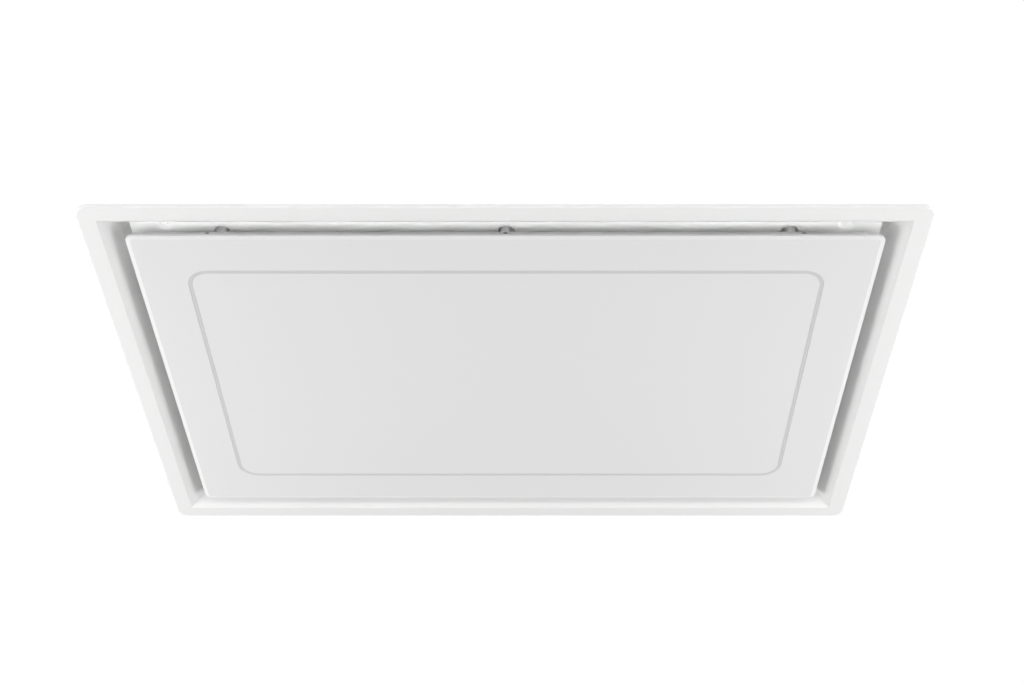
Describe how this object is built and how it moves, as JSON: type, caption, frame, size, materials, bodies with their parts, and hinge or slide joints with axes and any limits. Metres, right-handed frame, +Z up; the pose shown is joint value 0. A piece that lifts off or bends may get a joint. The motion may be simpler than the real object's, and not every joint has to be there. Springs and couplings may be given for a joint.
{
  "type": "ceiling range hood",
  "caption": "Recessed ceiling range hood: white flush trim frame, edge-suction panel on rear hinges with magnetic catches and a light line, and a blower housing with a round side outlet above.",
  "frame": {"origin": "centre of the ceiling plane on which the trim flange's folded lip bears", "axes": "+X along the long side towards the air outlet's side (the right, seen from the front), +Y to the rear where the panel is hinged, +Z up into the ceiling"},
  "size_m": [0.9, 0.6, 0.2613],
  "materials": {
    "white_paint": "white powder coat, satin",
    "white_glass": "back-painted white glass with a polished bevel",
    "opal": "opal acrylic, satin",
    "tray_paint": "pale grey powder coat",
    "polished_steel": "polished steel",
    "galvanised_steel": "galvanised sheet with a fine spangle",
    "aluminium": "mill aluminium, satin",
    "filter_mesh": "layered expanded aluminium mesh",
    "white_plastic": "moulded white plastic",
    "grey_plastic": "moulded grey plastic",
    "black_plastic": "moulded black plastic, fine texture",
    "rubber": "matt rubber",
    "foam": "closed-cell sealing foam",
    "magnet": "nickel-plated magnet",
    "motor_enamel": "dark enamel",
    "circuit_board": "green solder mask"
  },
  "bodies": {
    "root": {"trim_frame": "white_paint", "deck_plate": "white_paint", "deck_screw_front_left": "white_paint", "deck_screw_front_right": "white_paint", "deck_screw_rear_left": "white_paint", "deck_screw_rear_right": "white_paint", "body_gasket": "foam", "housing_shell": "galvanised_steel", "housing_cover": "galvanised_steel", "hanger_front_left": "galvanised_steel", "hanger_front_right": "galvanised_steel", "hanger_rear_left": "galvanised_steel", "hanger_rear_right": "galvanised_steel", "catch_cup_left": "white_plastic", "catch_cup_centre": "white_plastic", "catch_cup_right": "white_plastic", "catch_magnet_left": "magnet", "catch_magnet_centre": "magnet", "catch_magnet_right": "magnet", "hinge_arm_left": "galvanised_steel", "hinge_arm_right": "galvanised_steel", "filter_frame_left": "aluminium", "filter_frame_right": "aluminium", "filter_mesh_left": "filter_mesh", "filter_mesh_right": "filter_mesh", "scroll_floor": "galvanised_steel", "blower_scroll": "galvanised_steel", "inlet_ring": "black_plastic", "motor_can": "motor_enamel", "rubber_mount_front": "rubber", "rubber_mount_rear": "rubber", "rubber_mount_left": "rubber", "duct_adaptor": "grey_plastic", "outlet_spigot": "black_plastic", "damper_pin": "polished_steel", "control_box": "galvanised_steel", "control_lid": "galvanised_steel", "control_board": "circuit_board", "mains_gland": "black_plastic"},
    "panel": {"panel_border": "white_glass", "panel_centre": "white_glass", "light_lens": "opal", "light_channel": "aluminium", "led_strip": "white_plastic", "panel_tray": "tray_paint", "post_rail": "galvanised_steel", "tray_rivet_left": "aluminium", "tray_rivet_centre": "aluminium", "tray_rivet_right": "aluminium", "panel_post_left": "polished_steel", "panel_post_centre": "polished_steel", "panel_post_right": "polished_steel", "hinge_pin_left": "polished_steel", "hinge_pin_right": "polished_steel"},
    "wheel": {"blower_wheel": "black_plastic", "motor_shaft": "polished_steel"},
    "flap_front": {"damper_flap_front": "aluminium"},
    "flap_rear": {"damper_flap_rear": "aluminium"},
    "latch_left": {"filter_latch_left": "grey_plastic"},
    "latch_right": {"filter_latch_right": "grey_plastic"}
  },
  "joints": [
    {"name": "panel_hinge", "type": "hinge", "parent": "root", "child": "panel", "pos_m": [0, 0.232, 0.005], "axis": [1, 0, 0], "range_deg": [0, 90]},
    {"name": "wheel_spin", "type": "hinge", "parent": "root", "child": "wheel", "pos_m": [-0.04, 0.02, 0.15], "axis": [0, 0, 1], "continuous": true},
    {"name": "damper_front", "type": "hinge", "parent": "root", "child": "flap_front", "pos_m": [0.3752, -0.1245, 0.1195], "axis": [0, 0, 1], "range_deg": [0, 75], "stiffness_Nm_per_rad": 0.02, "springref_deg": -28.65},
    {"name": "damper_rear", "type": "hinge", "parent": "root", "child": "flap_rear", "pos_m": [0.3752, -0.1245, 0.1195], "axis": [0, 0, -1], "range_deg": [0, 75], "stiffness_Nm_per_rad": 0.02, "springref_deg": -28.65},
    {"name": "latch_slide_left", "type": "slide", "parent": "root", "child": "latch_left", "axis": [0, 1, 0], "range_m": [0, 0.0065], "stiffness_N_per_m": 300, "springref_m": -0.01},
    {"name": "latch_slide_right", "type": "slide", "parent": "root", "child": "latch_right", "axis": [0, 1, 0], "range_m": [0, 0.0065], "stiffness_N_per_m": 300, "springref_m": -0.01}
  ]
}
